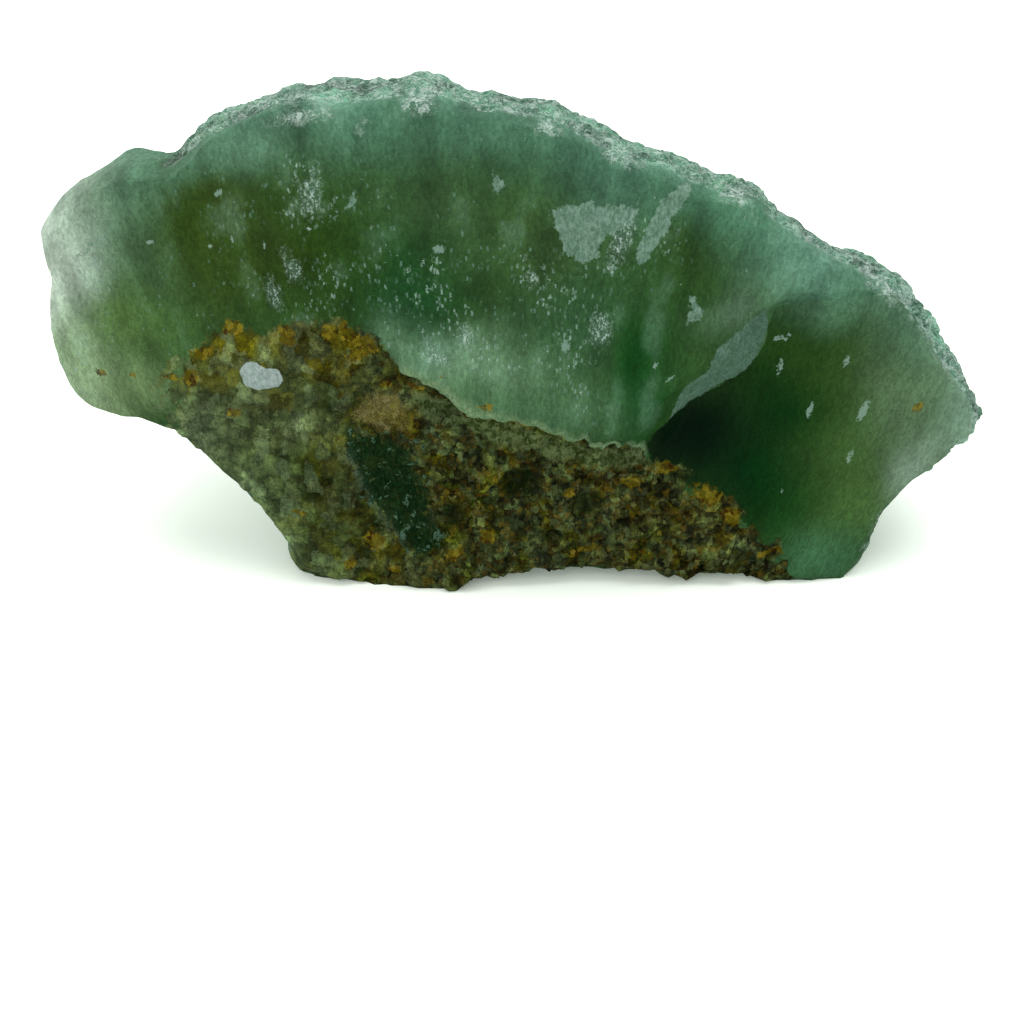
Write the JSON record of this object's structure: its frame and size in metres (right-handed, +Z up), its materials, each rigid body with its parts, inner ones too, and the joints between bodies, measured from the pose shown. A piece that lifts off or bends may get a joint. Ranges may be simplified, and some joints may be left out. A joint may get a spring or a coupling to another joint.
{
  "type": "botryoidal fluorite",
  "caption": "Broken piece of green botryoidal fluorite: fan of fibres with a lumpy growth surface at the back and a stepped broken front, resting on its own base.",
  "frame": {"origin": "on the table, under the middle of the stone's bounding box", "axes": "+Z up, +X along the stone, -Y out of the broken front"},
  "size_m": [0.1166, 0.0478, 0.0573],
  "materials": {
    "stone": "satin"
  },
  "bodies": {
    "root": {"fluorite": "stone"}
  },
  "joints": []
}
